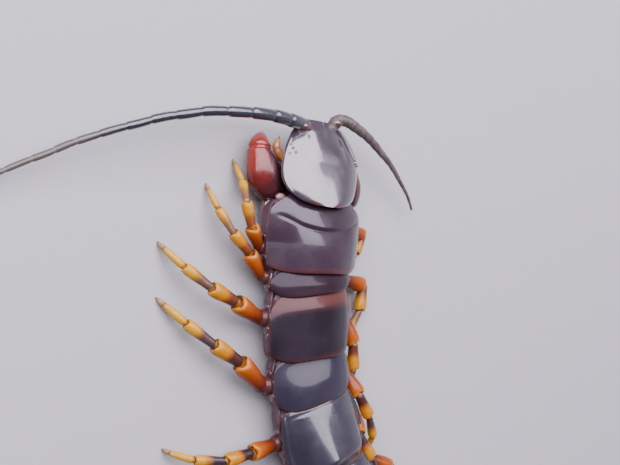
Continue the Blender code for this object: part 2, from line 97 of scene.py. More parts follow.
# Rings of the lip and mouth: place, half width, top and underside. Eyes: place, share of the
# head's half width, and radius. Feelers: place, side, height and radius.
LIP_RINGS = [(-0.05, 1.4, 5.4, 4.7), (0.25, 2.6, 5.6, 4.4), (1.2, 3.7, 5.5, 4.3),
             (2.4, 4.2, 5.3, 4.4), (3.2, 4.0, 5.1, 4.6)]
EYES = ((6.1, 0.86, 0.34), (6.9, 0.80, 0.36), (7.2, 0.90, 0.34), (5.4, 0.92, 0.28))
MOUTH_RINGS = [(2.2, 1.6, 4.2, 3.0), (4.5, 2.4, 4.3, 2.6), (8.3, 2.9, 4.3, 2.4)]
PALP_LEFT = [(7.4, 1.8, 3.3, 0.8), (8.0, 4.6, 3.3, 0.85), (7.4, 6.9, 3.4, 0.85),
             (5.8, 8.2, 3.4, 0.8), (4.2, 7.8, 3.3, 0.5)]
PALP_RIGHT = [(6.4, -1.4, 3.3, 0.8), (6.6, -2.9, 3.2, 0.8), (5.2, -3.5, 3.1, 0.75),
              (3.4, -2.9, 3.1, 0.45)]
# Antennae: sideways and backward distance from the front of the head, height and radius.
ANTENNA_LEFT = [(3.4, 2.2, 6.0, 1.2), (5.0, 0.75, 6.4, 1.3), (8.2, 0.15, 7.0, 1.28),
                (11.6, -0.35, 7.4, 1.2), (16.2, -0.6, 7.8, 1.1), (20.8, -0.6, 7.7, 1.0),
                (25.8, -0.45, 7.4, 0.93), (30.4, 0.3, 7.0, 0.87), (34.9, 1.1, 6.6, 0.81),
                (39.2, 2.35, 6.2, 0.76), (43.3, 3.5, 5.7, 0.71), (47.8, 5.0, 5.2, 0.67),
                (51.1, 6.2, 4.6, 0.63), (54.6, 7.8, 4.0, 0.6), (58.1, 9.2, 3.4, 0.56),
                (62.2, 11.0, 2.8, 0.51), (65.9, 12.6, 2.2, 0.45), (69.4, 14.3, 1.5, 0.36),
                (71.4, 15.4, 1.1, 0.27)]
ANTENNA_RIGHT = [(-1.4, 1.8, 6.0, 1.1), (-2.8, -0.2, 6.4, 1.15), (-4.8, -0.4, 6.6, 1.1),
                 (-7.0, 0.5, 6.6, 1.02), (-10.8, 2.5, 6.2, 0.86), (-14.4, 5.1, 5.6, 0.70),
                 (-17.7, 7.6, 4.9, 0.54), (-20.7, 10.6, 4.1, 0.42), (-23.3, 13.3, 3.3, 0.33),
                 (-25.0, 16.1, 2.7, 0.26)]
ARTICLES = 17

# The first plate's ends and groove, the plates' side rounding and low fronts, and the two plates
# whose tops differ.
COLLAR_FRONT = 14.2
COLLAR_REAR = 28.35
COLLAR_GROOVE = 20.4
ROUNDING = 2.7
FRONT_DROP = 0.85
FRONT_SLOPE = 3.4
SLOPED = 3
DOMED = 4
PLATE_WIDTHS = [(0.0, 0.93), (0.10, 0.965), (0.45, 1.0), (0.85, 0.985), (1.0, 0.95)]
BULGED_WIDTHS = [(0.0, 0.90), (0.12, 0.95), (0.52, 1.03), (0.85, 0.985), (1.0, 0.92)]

# Legs: link lengths and the short base.
LINKS = [7.2, 6.1, 6.4, 5.0, 1.9]
COXA = 1.8
# Radii of the leg's parts from the body out, of the joint skins, and where the leg starts.
COXA_SIZES = (1.75, 1.36)
LINK_SIZES = (1.86, 1.50, 1.12, 0.78, 0.50)
NOTCHES = (0.36, 0.26, 0.2)
JOINT_SIZES = (0.98, 0.76, 0.52, 0.38)
LEG_INSET = 0.88
LEG_HEIGHT = 3.9
# How strongly the first legs show the bands; the others show them in full. A limb's colours run
# through this many parts.
BANDS = {1: 0.15, 2: 0.30, 3: 0.60, 4: 0.85}
LIMB_PARTS = 6.0
LEG_PITCH = [14.0, 0.0, -15.0, -30.0, -45.0]
# Posed legs by number: scale, place along the segment, and the links' turns and slopes.
LEFT_POSED = {
    1: (0.74, 0.70, [46, 74, 101, 80, 86], [28, 0, -32, -29, -39]),
    2: (0.79, 0.40, [50, 46, 59, 72, 85], [12, 0, -12, -24, -35]),
    3: (0.96, 0.41, [27, 27, 38, 48, 59], [14, 1, -12, -25, -38]),
    4: (1.02, 0.52, [48, 40, 45, 50, 54], [6, -2, -10, -18, -26]),
    5: (0.90, 0.42, [11, 8, 22, 37, 52], [25, 8, -9, -26, -43]),
    6: (1.08, 0.25, [32, 38, 42, 46, 48], [16, 2, -14, -28, -42]),
}
RIGHT_POSED = {
    1: (0.68, 0.33, [-5, -112, -112, -115, -115], [-19, -1, -7, -11, -30]),
    2: (0.83, 0.40, [-9, -96, -116, -115, -115], [-15, -5, -12, -12, -32]),
    3: (0.84, 0.41, [-66, -84, -100, -112, -112], [1, -8, -23, -10, -31]),
    4: (0.82, 0.57, [-72, -66, -67, -85, -114], [32, 9, -9, -32, -27]),
    5: (0.89, 0.36, [-105, -75, -70, -49, -53], [28, 10, -17, -43, -39]),
    6: (0.90, 0.35, [-46, -60, -61, -60, -59], [7, 10, -9, -24, -43]),
}
TAIL_LINKS = [12.5, 11.0, 9.5, 7.5, 5.0]
TAIL_PITCH = [14, 2, -8, -14, -22]
TAIL_SPLAY = [15, 11, 8, 6, 5]
TAIL_SIZES = (2.55, 2.35, 2.0, 1.55, 1.0)
TAIL_BAND = 0.8
# Link profiles: place along the link and share of its radius.
CLUB = [(-0.05, 0.50), (-0.03, 0.64), (0.02, 0.72), (0.09, 0.75), (0.20, 0.77), (0.32, 0.81),
        (0.45, 0.88), (0.58, 0.95), (0.70, 0.99), (0.80, 1.0), (0.88, 0.98), (0.94, 0.93),
        (0.98, 0.85), (1.0, 0.74), (0.997, 0.65), (0.975, 0.60)]
SLIM = [(-0.05, 0.34), (-0.03, 0.58), (0.02, 0.74), (0.10, 0.81), (0.25, 0.85), (0.45, 0.91),
        (0.62, 0.97), (0.78, 1.0), (0.88, 0.99), (0.94, 0.95), (0.985, 0.86), (1.0, 0.74),
        (0.98, 0.62), (0.92, 0.5)]
TAPER = [(-0.05, 0.34), (-0.03, 0.62), (0.02, 0.82), (0.10, 0.93), (0.22, 1.0), (0.40, 1.0),
         (0.60, 0.95), (0.80, 0.84), (0.94, 0.74), (1.0, 0.66), (0.99, 0.55), (0.95, 0.45)]
TOE = [(-0.08, 0.45), (0.02, 0.92), (0.15, 1.0), (0.40, 0.94), (0.65, 0.78), (0.85, 0.56),
       (0.96, 0.38), (1.0, 0.20)]
STOUT = [(-0.10, 0.50), (-0.05, 0.72), (0.05, 0.86), (0.25, 0.95), (0.55, 1.0), (0.85, 0.98),
         (1.0, 0.86), (1.08, 0.62), (1.10, 0.30)]
# Segments with breathing slits, and where a leg sits along its segment if nothing else is said.
SPIRACLES = (3, 5, 8, 10, 12, 14, 16, 18, 20)
LEG_SHARE = 0.36
# Sideways reach of the soft flank by height, as a share of the body's half width.
FLANK_SHARES = [(1.7, 0.78), (2.5, 0.90), (3.6, 0.965), (4.6, 0.975), (5.6, 0.955), (6.2, 0.93)]
# Oval plates round each leg: place ahead of or behind it, height and two radii; then how an
# oval's rings shrink while they rise.
FLANK_OVALS = ((1.9, 4.35, 0.75, 0.95), (-1.9, 4.2, 0.6, 0.85), (0.2, 5.45, 1.2, 0.28))
OVAL_LEVELS = ((1.0, -0.25), (1.0, 0.2), (0.86, 0.75), (0.5, 1.0), (0.12, 1.05))

# Back plate finishes: dark and light tone, border tone and shine; then, where they aren't the
# usual ones, where the rear border starts and a front border's tone.
SHELLS = {
    "head_shell": ((0.030, 0.020, 0.030), (0.040, 0.028, 0.040), (0.08, 0.018, 0.018), 1.0, 0.93),
    "plate_front": ((0.027, 0.014, 0.024), (0.036, 0.021, 0.033), (0.070, 0.018, 0.020), 0.32),
    "plate_short": ((0.020, 0.010, 0.016), (0.028, 0.016, 0.024), (0.060, 0.016, 0.018), 0.12),
    "plate_banded": ((0.014, 0.009, 0.014), (0.021, 0.015, 0.022), (0.050, 0.016, 0.018), 0.14,
                     0.90, (0.080, 0.026, 0.024)),
    # The bluish cast of plate_slate and plate_rear is partly the plates' own slate tone and partly a
    # painted sky reflection.
    "plate_slate": ((0.020, 0.017, 0.028), (0.030, 0.026, 0.041), (0.050, 0.022, 0.026), 0.18),
    "plate_rear": ((0.018, 0.016, 0.026), (0.028, 0.025, 0.038), (0.050, 0.022, 0.026), 0.5),
}
# The colour mixing node's factor, first and second colour by number, and its colour output.
MIX_INPUTS = (0, 6, 7)
MIX_OUTPUT = 2
# Plain finishes: mottling noise, dark and light tone, sheen noise, sheen range, gloss, grain
# noise, and the grain's depth and strength.
PLAINS = {
    "belly_plate": ((300, 4), (0.12, 0.045, 0.020), (0.20, 0.085, 0.035), (800, 3), (0.25, 0.42),
                    (0.5, 0.4, 0.15), (1600, 4), (0.03,)),
    "flank_plate": ((500, 4), (0.040, 0.012, 0.015), (0.075, 0.026, 0.030), (900, 3),
                    (0.2, 0.34), (0.7, 0.6, 0.1), (1800, 4), (0.03,)),
    "fang_plate": ((260, 4), (0.045, 0.014, 0.016), (0.085, 0.026, 0.026), (900, 3),
                   (0.16, 0.28), (0.8, 0.8, 0.07), (1500, 4), (0.03,)),
    "mouth": ((500, 4), (0.34, 0.12, 0.030), (0.50, 0.24, 0.080), (900, 3), (0.25, 0.42),
              (0.5, 0.4, 0.12), (2000, 3), (0.03,)),
    "condyle": ((900, 3), (0.30, 0.14, 0.14), (0.45, 0.26, 0.25), (900, 3), (0.14, 0.24),
                (0.8, 0.8, 0.06), (1800, 3), (0.02,)),
    "eye": ((1500, 2), (0.010, 0.008, 0.010), (0.030, 0.022, 0.030), (1500, 2), (0.05, 0.10),
            (1.0, 1.0, 0.02), None, None),
    "antenna_right": ((900, 4), (0.055, 0.040, 0.036), (0.10, 0.078, 0.070), (900, 3),
                      (0.45, 0.60), (0.4, 0.1, 0.2), (4200, 4, 0.7), (0.05, 0.8)),
    "claw": ((1500, 3), (0.05, 0.022, 0.014), (0.12, 0.055, 0.03), (1500, 3), (0.18, 0.30),
             (0.6, 0.5, 0.1), None, None),
    "joint_skin": ((1300, 4), (0.16, 0.055, 0.008), (0.24, 0.095, 0.016), (1300, 3),
                   (0.35, 0.55), None, (2600, 4), (0.06,)),
}
# Limb colours by the place along the links, link number first: banded limbs, plain limbs and the
# outer links of both. The bright yellow rim just before 2.0, at the far end of link one, is partly
# its own colour and partly a painted highlight.
BANDED_LIMB = [(0.0, (0.06, 0.022, 0.02)), (0.5, (0.066, 0.02, 0.016)),
    (0.9, (0.066, 0.014, 0.009)), (1.0, (0.06, 0.01, 0.006)), (1.25, (0.13, 0.02, 0.004)),
    (1.55, (0.25, 0.044, 0.002)), (1.86, (0.33, 0.07, 0.002)), (1.93, (0.42, 0.115, 0.003)),
    (1.99, (0.5, 0.17, 0.006)), (2.0, (0.022, 0.01, 0.012)), (2.33, (0.034, 0.015, 0.016)),
    (2.44, (0.27, 0.075, 0.004)), (2.56, (0.42, 0.155, 0.001)), (2.93, (0.45, 0.185, 0.002)),
    (2.99, (0.56, 0.27, 0.01)), (3.0, (0.03, 0.018, 0.024)), (3.4, (0.042, 0.026, 0.032)),
    (3.54, (0.3, 0.12, 0.012)), (3.7, (0.52, 0.24, 0.004)), (3.99, (0.5, 0.25, 0.014)),
    (4.0, (0.24, 0.085, 0.006))]
PLAIN_LIMB = [(0.0, (0.06, 0.022, 0.02)), (0.5, (0.066, 0.02, 0.016)),
    (0.9, (0.078, 0.014, 0.008)), (1.0, (0.085, 0.012, 0.005)), (1.25, (0.17, 0.026, 0.003)),
    (1.55, (0.28, 0.052, 0.002)), (1.86, (0.35, 0.08, 0.002)), (1.93, (0.44, 0.13, 0.003)),
    (1.99, (0.5, 0.19, 0.006)), (2.0, (0.15, 0.034, 0.006)), (2.3, (0.2, 0.05, 0.005)),
    (2.42, (0.32, 0.095, 0.003)), (2.56, (0.42, 0.165, 0.001)), (2.93, (0.45, 0.195, 0.002)),
    (2.99, (0.56, 0.27, 0.01)), (3.0, (0.2, 0.085, 0.04)), (3.35, (0.24, 0.11, 0.04)),
    (3.52, (0.34, 0.16, 0.012)), (3.7, (0.52, 0.25, 0.004)), (3.99, (0.5, 0.26, 0.014)),
    (4.0, (0.26, 0.095, 0.006))]
OUTER_LIMB = [(4.1, (0.5, 0.24, 0.006)), (4.45, (0.54, 0.29, 0.016)), (4.93, (0.46, 0.25, 0.035)),
    (5.0, (0.28, 0.14, 0.05)), (5.5, (0.32, 0.19, 0.1)), (5.95, (0.2, 0.1, 0.05))]

# Camera: the photo's view, from the animal's left side and above, aimed at a point on the back.
VIEW_TARGET = (20.8, 0.9, 6)
VIEW_TILT = 37.0
VIEW_DISTANCE = 230.0
VIEW_LENS = 72.13

# Light panel: size and place from the camera's target, in metres, its power and colour; then
# the surroundings' colour and how their glow runs across.
PANEL_SIZE = (1.26, 0.83)
PANEL_PLACE = (0.24, -0.455, 0.5)
PANEL_POWER = 29.7
PANEL_COLOUR = (0.92, 0.85, 1.0)
SKY_COLOUR = (0.90, 0.88, 0.96, 1)
SKY_GLOW = (("From Min", -0.6), ("From Max", -1.0), ("To Min", 0.23), ("To Max", 1.1))


# Curves

def smooth(t):
    t = max(0.0, min(1.0, t))
    return t * t * (3 - 2 * t)


def hump(x, centre, width):
    return math.exp(-((x - centre) / width) ** 2)


def read_table(table, x):
    """Smooth reading of a table whose rows start with their place."""
    if x <= table[0][0]:
        return table[0][1:]
    if x >= table[-1][0]:
        return table[-1][1:]
    i = max(n for n in range(len(table) - 1) if table[n][0] <= x)
    rows = [table[max(0, min(len(table) - 1, i + k))] for k in (-1, 0, 1, 2)]
    span = rows[2][0] - rows[1][0]
    t = (x - rows[1][0]) / span
    out = []
    for k in range(1, len(table[0])):
        before = (rows[2][k] - rows[0][k]) / (rows[2][0] - rows[0][0]) * span
        after = (rows[3][k] - rows[1][k]) / (rows[3][0] - rows[1][0]) * span
        out.append((2 * t ** 3 - 3 * t ** 2 + 1) * rows[1][k] + (t ** 3 - 2 * t ** 2 + t) * before
                   + (-2 * t ** 3 + 3 * t ** 2) * rows[2][k] + (t ** 3 - t ** 2) * after)
    return out


def between(rows, t):
    """Point between the middle two of four rows, on a smooth path through them all."""
    return tuple(0.5 * (2 * b + (c - a) * t + (2 * a - 5 * b + 4 * c - d) * t * t
                        + (3 * b - a - 3 * c + d) * t ** 3) for a, b, c, d in zip(*rows))


def spline(points, count):
    """Smooth path through points of any size, sampled evenly in index."""
    out = []
    last = len(points) - 1
    for n in range(count):
        place = last * n / (count - 1)
        i = min(last - 1, int(place))
        out.append(between([points[max(0, min(last, i + k))] for k in (-1, 0, 1, 2)], place - i))
    return out


# Body line

def turn_at(s):
    return read_table(TURNS, s)[0]


def walk_spine():
    count = int((HEAD + sum(SEGMENTS) + 20) / STEP)
    path = [(START_X, START_Y)]
    for i in range(count):
        angle = math.radians(turn_at((i + 0.5) * STEP))
        x, y = path[-1]
        path.append((x + math.sin(angle) * STEP, y + math.cos(angle) * STEP))
    return path


SPINE = walk_spine()


def spine_frame(s):
    """Point on the body line with its left and backward directions."""
    place = max(0.0, s / STEP)
    i = min(len(SPINE) - 2, int(place))
    t = place - i
    x = SPINE[i][0] * (1 - t) + SPINE[i + 1][0] * t
    y = SPINE[i][1] * (1 - t) + SPINE[i + 1][1] * t
    angle = math.radians(turn_at(s))
    if s < 0:
        x += math.sin(angle) * s
        y += math.cos(angle) * s
    left = Vector((math.cos(angle), -math.sin(angle), 0))
    back = Vector((math.sin(angle), math.cos(angle), 0))
    return Vector((x, y, 0)), left, back


def at(s, side, height):
    spot, left = spine_frame(s)[:2]
    return spot + left * side + Vector((0, 0, height))


def segment_start(index):
    return HEAD + sum(SEGMENTS[:index])


# Mesh making

class Shape:
    """Gathers points and faces, with two surface values at each point."""

    def __init__(self):
        self.points = []
        self.faces = []
        self.along = []
        self.across = []

    def add(self, point, along=0.0, across=0.0):
        self.points.append(tuple(c * MM for c in point))
        self.along.append(along)
        self.across.append(across)
        return len(self.points) - 1

    def grid(self, rows):
        for front, rear in zip(rows, rows[1:]):
            for i in range(len(front) - 1):
                self.faces.append((front[i], front[i + 1], rear[i + 1], rear[i]))

    def tube(self, rings):
        """Closed rings of point numbers, capped at both ends."""
        size = len(rings[0])
        for front, rear in zip(rings, rings[1:]):
            for i in range(size):
                j = (i + 1) % size
                self.faces.append((front[i], front[j], rear[j], rear[i]))
        self.faces.append(tuple(reversed(rings[0])))
        self.faces.append(tuple(rings[-1]))

    def mesh(self, name):
        mesh = bpy.data.meshes.new(name)
        mesh.from_pydata(self.points, [], self.faces)
        for label, values in (("along", self.along), ("across", self.across)):
            paint(mesh, label, values)
        bm = bmesh.new()
        bm.from_mesh(mesh)
        bmesh.ops.recalc_face_normals(bm, faces=bm.faces[:])
        bm.to_mesh(mesh)
        bm.free()
        mesh.shade_smooth()
        return mesh


def paint(mesh, name, values):
    """Gives each point of a mesh a value that its finish reads."""
    mesh.attributes.new(name, "FLOAT", "POINT").data.foreach_set("value", values)


def place_item(name, data):
    item = bpy.data.objects.new(name, data)
    bpy.context.scene.collection.objects.link(item)
    return item


def add_piece(name, shape, finish, nodes=()):
    """Puts one piece in the scene, from a gathered shape or a ready mesh."""
    mesh = shape.mesh(name) if isinstance(shape, Shape) else shape
    item = place_item(name, mesh)
    mesh.materials.append(FINISHES[finish])
    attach(item, "root")
    if nodes:
        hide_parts(*nodes)
    return item


def add_limb_piece(name, shape, finish, nodes=(), band=None):
    """Adds a limb's piece, held just off the floor; band is how strongly its bands show."""
    mesh = shape.mesh(name)
    if band is not None:
        paint(mesh, "band", [band] * len(mesh.vertices))
    for vert in mesh.vertices:
        vert.co.z = max(vert.co.z, FLOOR_GAP)
    add_piece(name, mesh, finish, nodes)


def thicken(item, amount=PLATE):
    shell = item.modifiers.new("thickness", "SOLIDIFY")
    shell.thickness = amount * MM
    shell.offset = -1
    shell.use_even_offset = True
    return item


def path_frames(points):
    """Side and up directions carried along a path."""
    frames = []
    up = UP
    count = len(points)
    for i, point in enumerate(points):
        ahead = points[min(i + 1, count - 1)] - point
        behind = point - points[max(i - 1, 0)]
        if ahead.length < 1e-6:
            ahead = behind
        if behind.length < 1e-6:
            behind = ahead
        tangent = (ahead.normalized() + behind.normalized()).normalized()
        up = (up - tangent * up.dot(tangent)).normalized()
        frames.append((tangent.cross(up).normalized(), up.copy()))
    return frames


def angles(count):
    return [2 * math.pi * k / count for k in range(count)]


def flatten(wave, power):
    """A sine or cosine made flatter near its ends."""
    return math.copysign(abs(wave) ** power, wave)


def sheet(rows, across, point):
    """Open sheet whose points come from a function of the places across and along it."""
    shape = Shape()
    shape.grid([[shape.add(*point(i / across, j / rows)) for i in range(across + 1)]
                for j in range(rows + 1)])
    return shape


def loft(shape, rows, sides, point):
    """Closed surface whose rings come from a function of the row and the angle round it."""
    shape.tube([[shape.add(*point(row, angle)) for angle in angles(sides)] for row in rows])


def add_tube(shape, points, radii, along, sides=24):
    """Oval tube through points; each radius is a (side, up) pair."""
    def point(row, angle):
        spot, (side, up), (a, b), value = row
        spot = spot + side * (a * math.cos(angle)) + up * (b * math.sin(angle))
        return spot, value, math.sin(angle)

    loft(shape, zip(points, path_frames(points), radii, along), sides, point)


def add_link(shape, start, end, size, profile, base, sides=20, span=1.0, notch=0.0):
    """One limb link between two joints; its far rim may be notched above and below."""
    axis = end - start
    length = axis.length
    axis = axis.normalized()
    up = (UP - axis * UP.dot(axis)).normalized()
    side = axis.cross(up).normalized()

    def point(row, angle):
        t, share = row
        back = notch * smooth((t - 0.72) / 0.24) * math.sin(angle) ** 4
        spot = (start + axis * (t * length - back * size) + side * (size * share * math.cos(angle))
                + up * (size * share * math.sin(angle)))
        return spot, base + span * max(0.0, min(1.0, t)), math.sin(angle)

    loft(shape, profile, sides, point)


def add_ball(shape, centre, radius, along=0.0, squash=(1, 1, 1), rows=10, sides=16):
    def point(n, angle):
        polar = math.pi * n / rows
        return centre + Vector((
            radius * squash[0] * math.sin(polar) * math.cos(angle),
            radius * squash[1] * math.sin(polar) * math.sin(angle),
            radius * squash[2] * math.cos(polar))), along, math.cos(polar)

    loft(shape, range(1, rows), sides, point)


# Materials

class Finish:
    """Small helper around one node material."""

    def __init__(self, name):
        self.material = bpy.data.materials.new(name + "_finish")
        FINISHES[name] = self.material
        self.material.use_nodes = True
        self.nodes = self.material.node_tree.nodes
        self.links = self.material.node_tree.links
        self.shader = self.nodes["Principled BSDF"]
        self.place = self.nodes.new("ShaderNodeTexCoord").outputs["Object"]

    def feed(self, node, inputs):
        """Gives each input a value or a colour, or links it to an output."""
        for name, source in inputs.items():
            socket = node.inputs[name]
            if isinstance(source, bpy.types.NodeSocket):
                self.links.new(source, socket)
            else:
                socket.default_value = (*source, 1) if socket.type == "RGBA" else source

    def node(self, kind, inputs):
        node = self.nodes.new("ShaderNode" + kind)
        self.feed(node, inputs)
        return node

    def value(self, attribute):
        node = self.node("Attribute", {})
        node.attribute_name = attribute
        return node.outputs["Fac"]

    def noise(self, scale, detail=4.0, rough=0.5, stretch=None):
        place = self.place
        if stretch:
            place = self.node("Mapping", {"Scale": stretch, "Vector": place}).outputs["Vector"]
        inputs = {"Scale": scale, "Detail": detail, "Roughness": rough, "Vector": place}
        return self.node("TexNoise", inputs).outputs["Fac"]

    def cells(self, scale):
        inputs = {"Scale": scale, "Vector": self.place}
        return self.node("TexVoronoi", inputs).outputs["Distance"]

    def ramp(self, source, stops, smooth_steps=True):
        node = self.node("ValToRGB", {"Fac": source})
        node.color_ramp.interpolation = "EASE" if smooth_steps else "LINEAR"
        points = node.color_ramp.elements
        while len(points) > 1:
            points.remove(points[-1])
        points[0].position = stops[0][0]
        points[0].color = (*stops[0][1], 1)
        for place, colour in stops[1:]:
            points.new(place).color = (*colour, 1)
        return node.outputs["Color"]

    def levels(self, source, low, high, out_low=0.0, out_high=1.0):
        node = self.node("MapRange", {"Value": source, "From Min": low, "From Max": high,
                                      "To Min": out_low, "To Max": out_high})
        node.interpolation_type = "SMOOTHSTEP"
        return node.outputs["Result"]

    def maths(self, kind, *sources):
        node = self.node("Math", dict(enumerate(sources)))
        node.operation = kind
        return node.outputs["Value"]

    def mix(self, factor, first, second, kind="MIX"):
        node = self.node("Mix", {})
        node.data_type = "RGBA"
        node.blend_type = kind
        self.feed(node, dict(zip(MIX_INPUTS, (factor, first, second))))
        return node.outputs[MIX_OUTPUT]

    def surface(self, name, source):
        self.feed(self.shader, {name: source})

    def colour(self, source):
        self.surface("Base Color", source)

    def roughness(self, source):
        self.surface("Roughness", source)

    def bump(self, source, depth, strength=1.0):
        node = self.node("Bump", {"Distance": depth * MM, "Strength": strength, "Height": source})
        self.surface("Normal", node.outputs["Normal"])

    def gloss(self, specular=0.9, coat=0.8, coat_rough=0.06, coat_ior=1.6):
        self.feed(self.shader, {"Specular IOR Level": specular, "Coat Weight": coat,
                                "Coat Roughness": coat_rough, "Coat IOR": coat_ior})


def shell_finish(name, dark, light, edge, shine, edge_from=0.90, front_edge=None):
    """Dark glossy plate with faint mottling and a redder, thinner border."""
    f = Finish(name)
    cloud = f.noise(170, 3, 0.5)
    base = f.ramp(cloud, [(0.25, dark), (0.75, light)])
    along = f.value("along")
    across = f.maths("ABSOLUTE", f.value("across"))
    rear = f.levels(along, edge_from, 0.995)
    sides = f.levels(across, 0.955, 1.0)
    rim = f.maths("MAXIMUM", rear, f.maths("MULTIPLY", sides, 0.7))
    wobble = f.levels(f.noise(420, 2), 0.35, 0.65, 0.55, 1.0)
    shade = f.mix(f.maths("MULTIPLY", rim, wobble), base, edge)
    if front_edge:
        front = f.levels(along, 0.34, 0.16)
        shade = f.mix(front, shade, front_edge)
    f.colour(shade)
    f.roughness(f.levels(f.noise(420, 3), 0.3, 0.7, 0.20, 0.28))
    fine = f.maths("ADD", f.maths("MULTIPLY", f.noise(1500, 4), 0.5),
                   f.maths("MULTIPLY", f.cells(900), 0.25))
    f.bump(fine, 0.02)
    f.gloss(shine, shine)


def plain_finish(name, mottle, dark, light, patches, rough, gloss, grain, depth):
    """Two mottled tones with an uneven sheen and, mostly, a fine grain."""
    f = Finish(name)
    f.colour(f.ramp(f.noise(*mottle), [(0.3, dark), (0.7, light)]))
    f.roughness(f.levels(f.noise(*patches), 0.3, 0.7, *rough))
    if grain:
        f.bump(f.noise(*grain), *depth)
    if gloss:
        f.gloss(*gloss)
    return f


def leg_finish():
    """Banded limb colour read from the place along the links."""
    f = Finish("leg")
    place = f.maths("DIVIDE", f.value("along"), LIMB_PARTS)
    drift = f.levels(f.noise(500, 2), 0.3, 0.7, -0.006, 0.006)
    place = f.maths("ADD", place, drift)
    dark, pale = [f.ramp(place, [(p / LIMB_PARTS, c) for p, c in stops + OUTER_LIMB], False)
                  for stops in (BANDED_LIMB, PLAIN_LIMB)]
    shade = f.mix(f.value("band"), pale, dark)
    speck = f.levels(f.noise(1800, 4, 0.7), 0.35, 0.8, 1.0, 0.72)
    shade = f.mix(1.0, shade, speck, "MULTIPLY")
    f.colour(shade)
    f.roughness(f.levels(f.noise(900, 3), 0.3, 0.7, 0.26, 0.42))
    f.bump(f.noise(2600, 3), 0.03)
    f.gloss(0.25, 0.15, 0.12, 1.5)


def membrane_finish():
    """Soft folded skin, with painted shade in the fold hollows and painted highlight on the crests.
    """
    f = Finish("membrane")
    folds = f.noise(520, 5, 0.6, (1.0, 0.35, 1.6))
    # The colour follows the fold noise that also raises the bumps: painted shade in the hollows,
    # painted highlight on the crests.
    f.colour(f.ramp(folds, [(0.28, (0.034, 0.016, 0.019)), (0.55, (0.072, 0.034, 0.044)),
                            (0.78, (0.12, 0.066, 0.084))]))
    f.roughness(f.levels(folds, 0.3, 0.7, 0.34, 0.55))
    f.bump(f.maths("ADD", folds, f.maths("MULTIPLY", f.cells(1100), 0.5)), 0.22)
    f.surface("Specular IOR Level", 0.5)


def fang_finish():
    """Dark base, bright red middle and black tip, with painted shade on the inner side."""
    f = Finish("fang")
    along = f.value("along")
    place = f.maths("ADD", along, f.levels(f.noise(330, 3), 0.3, 0.7, -0.05, 0.05))
    hot = f.ramp(place, [(0.0, (0.030, 0.008, 0.010)), (0.22, (0.055, 0.008, 0.008)),
                         (0.38, (0.12, 0.010, 0.008)), (0.55, (0.20, 0.014, 0.007)),
                         (0.74, (0.25, 0.020, 0.008)), (0.86, (0.24, 0.014, 0.014)),
                         (0.94, (0.20, 0.010, 0.014)), (1.0, (0.05, 0.007, 0.008))], False)
    # Painted shade: the inner side, turned away from the light, is mixed towards dark maroon except
    # near the tip.
    inner = f.levels(f.value("inner"), 0.25, 0.75)
    low = f.maths("MULTIPLY", inner, f.levels(along, 0.80, 0.62))
    f.colour(f.mix(low, hot, (0.016, 0.006, 0.011)))
    f.roughness(f.levels(f.noise(800, 3), 0.3, 0.7, 0.20, 0.32))
    f.bump(f.noise(900, 3, 0.5, (1.0, 0.10, 1.0)), 0.22)
    f.gloss(0.35, 0.35, 0.10)


def antenna_finish():
    """Glossy slate base with dark rings, then dull brown with pale rings."""
    f = Finish("antenna")
    along = f.value("along")
    shade = f.ramp(along, [(0.0, (0.036, 0.026, 0.034)), (0.10, (0.030, 0.028, 0.040)),
                           (0.30, (0.018, 0.018, 0.028)), (0.50, (0.016, 0.016, 0.025)),
                           (0.585, (0.022, 0.020, 0.026)), (0.63, (0.046, 0.033, 0.022)),
                           (1.0, (0.060, 0.040, 0.022))], False)
    ring = f.levels(f.value("ring"), 0.35, 1.0)
    dark = f.mix(f.maths("MULTIPLY", ring, 0.6), shade, (0.008, 0.006, 0.009))
    pale = f.mix(f.maths("MULTIPLY", ring, 0.7), shade, (0.11, 0.085, 0.066))
    shade = f.mix(f.levels(along, 0.58, 0.64), dark, pale)
    grain = f.levels(f.noise(3600, 4, 0.7), 0.3, 0.75, 1.0, 0.62)
    f.colour(f.mix(1.0, shade, grain, "MULTIPLY"))
    f.roughness(f.levels(along, 0.50, 0.68, 0.18, 0.62))
    f.bump(f.noise(4200, 4, 0.7), 0.05, 0.8)
    f.gloss(0.9, 0.5, 0.08)


def make_finishes():
    for name, row in SHELLS.items():
        shell_finish(name, *row)
    for name, row in PLAINS.items():
        f = plain_finish(name, *row)
        if name == "mouth":
            f.surface("Subsurface Weight", 0.15)
            f.surface("Subsurface Scale", 0.002)
    membrane_finish()
    fang_finish()
    antenna_finish()
    leg_finish()
    f = Finish("floor")
    f.colour(f.ramp(f.noise(3.0, 3), [(0.3, (0.355, 0.355, 0.36)), (0.7, (0.375, 0.375, 0.38))]))
    f.roughness(0.75)


# Body plates

def collar_point(u, v):
    """First plate: a curved groove, with the plate dipping softly behind it."""
    size = abs(u)
    front = COLLAR_FRONT + 3.0 * max(0.0, (size - 0.74) / 0.26) ** 2
    rear = COLLAR_REAR - 1.3 * size ** 6
    s = front + (rear - front) * v
    width, top = read_table(COLLAR, s)
    height = top - (top - RIM) * size ** ROUNDING
    groove = COLLAR_GROOVE - 3.0 * u * u
    behind = max(0.0, s - groove)
    dip = smooth(behind / 0.3) * math.exp(-behind / 2.2)
    height -= 0.34 * hump(s, groove, 0.24) * (1 - smooth((size - 0.72) / 0.2))
    height -= 0.42 * dip * (1 - smooth((size - 0.4) / 0.3))
    height -= 0.14 * smooth((v - 0.965) / 0.035)
    height -= 0.15 * (min(max(s, 17.5), 23.0) - 20.5) * smooth((u - 0.42) / 0.3)
    return s, width * u, height


